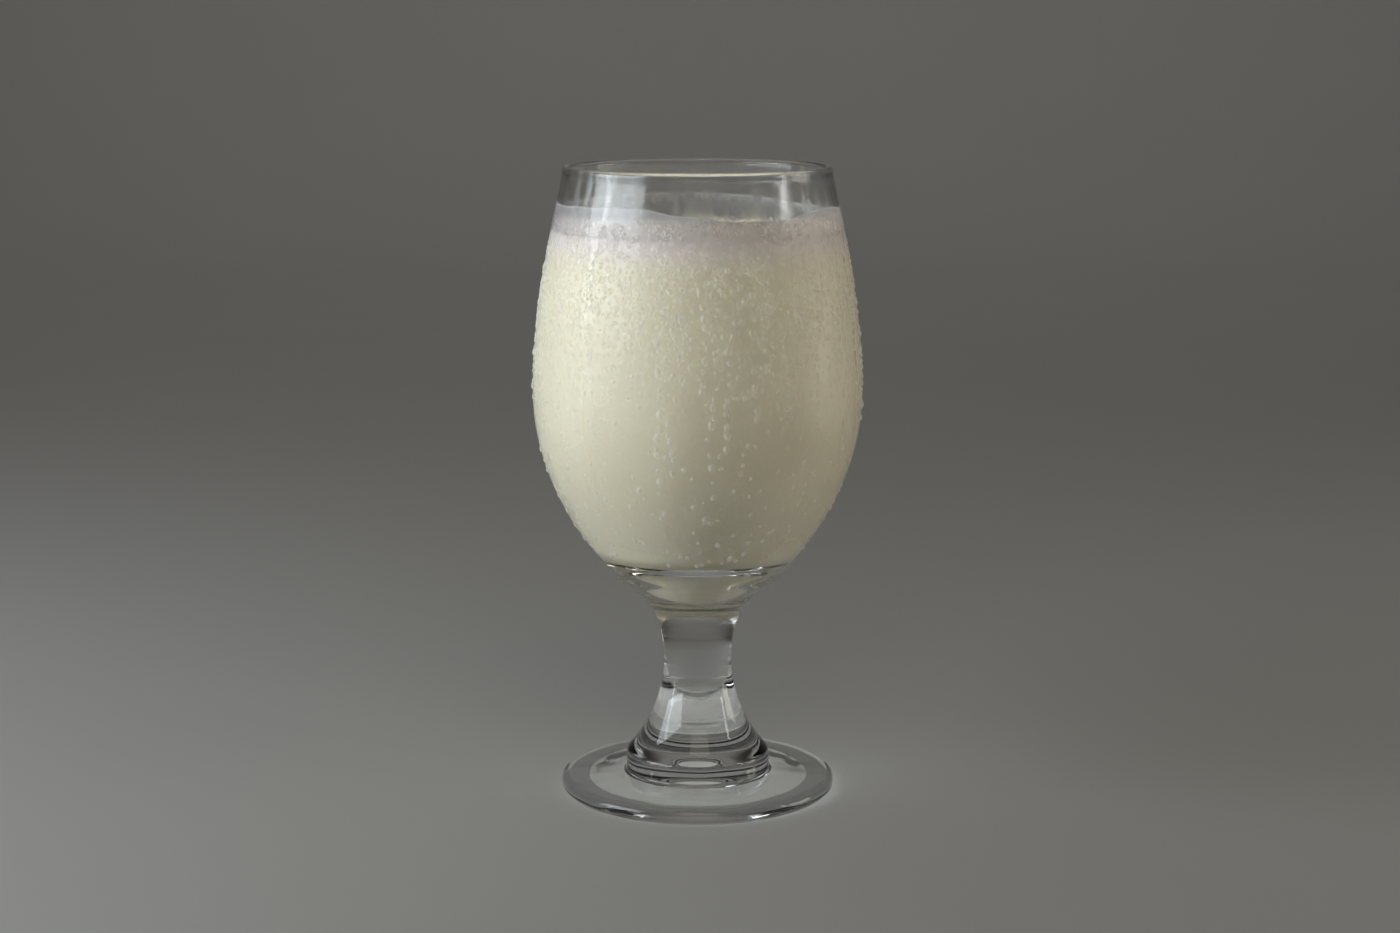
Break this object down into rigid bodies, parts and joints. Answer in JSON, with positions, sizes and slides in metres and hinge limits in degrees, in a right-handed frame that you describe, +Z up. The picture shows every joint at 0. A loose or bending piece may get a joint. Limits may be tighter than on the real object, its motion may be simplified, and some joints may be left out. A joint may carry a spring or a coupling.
{
  "type": "glass of sweet lassi",
  "caption": "Stemmed clear goblet with a barrel-shaped bowl, short waisted stem and round foot, filled with pale sweet lassi to just below the rim.",
  "frame": {"origin": "centre of the foot's standing ring, on the surface that the glass stands on", "axes": "+Z up along the axis of the glass, from the foot to the rim"},
  "size_m": [0.082, 0.082, 0.158],
  "materials": {
    "clear_glass": "clear, smooth and glossy, with fine condensation outside the bowl",
    "lassi": "opaque pale cream liquid with a fine froth at the surface"
  },
  "bodies": {
    "root": {"glass": "clear_glass", "lassi": "lassi"}
  },
  "joints": []
}
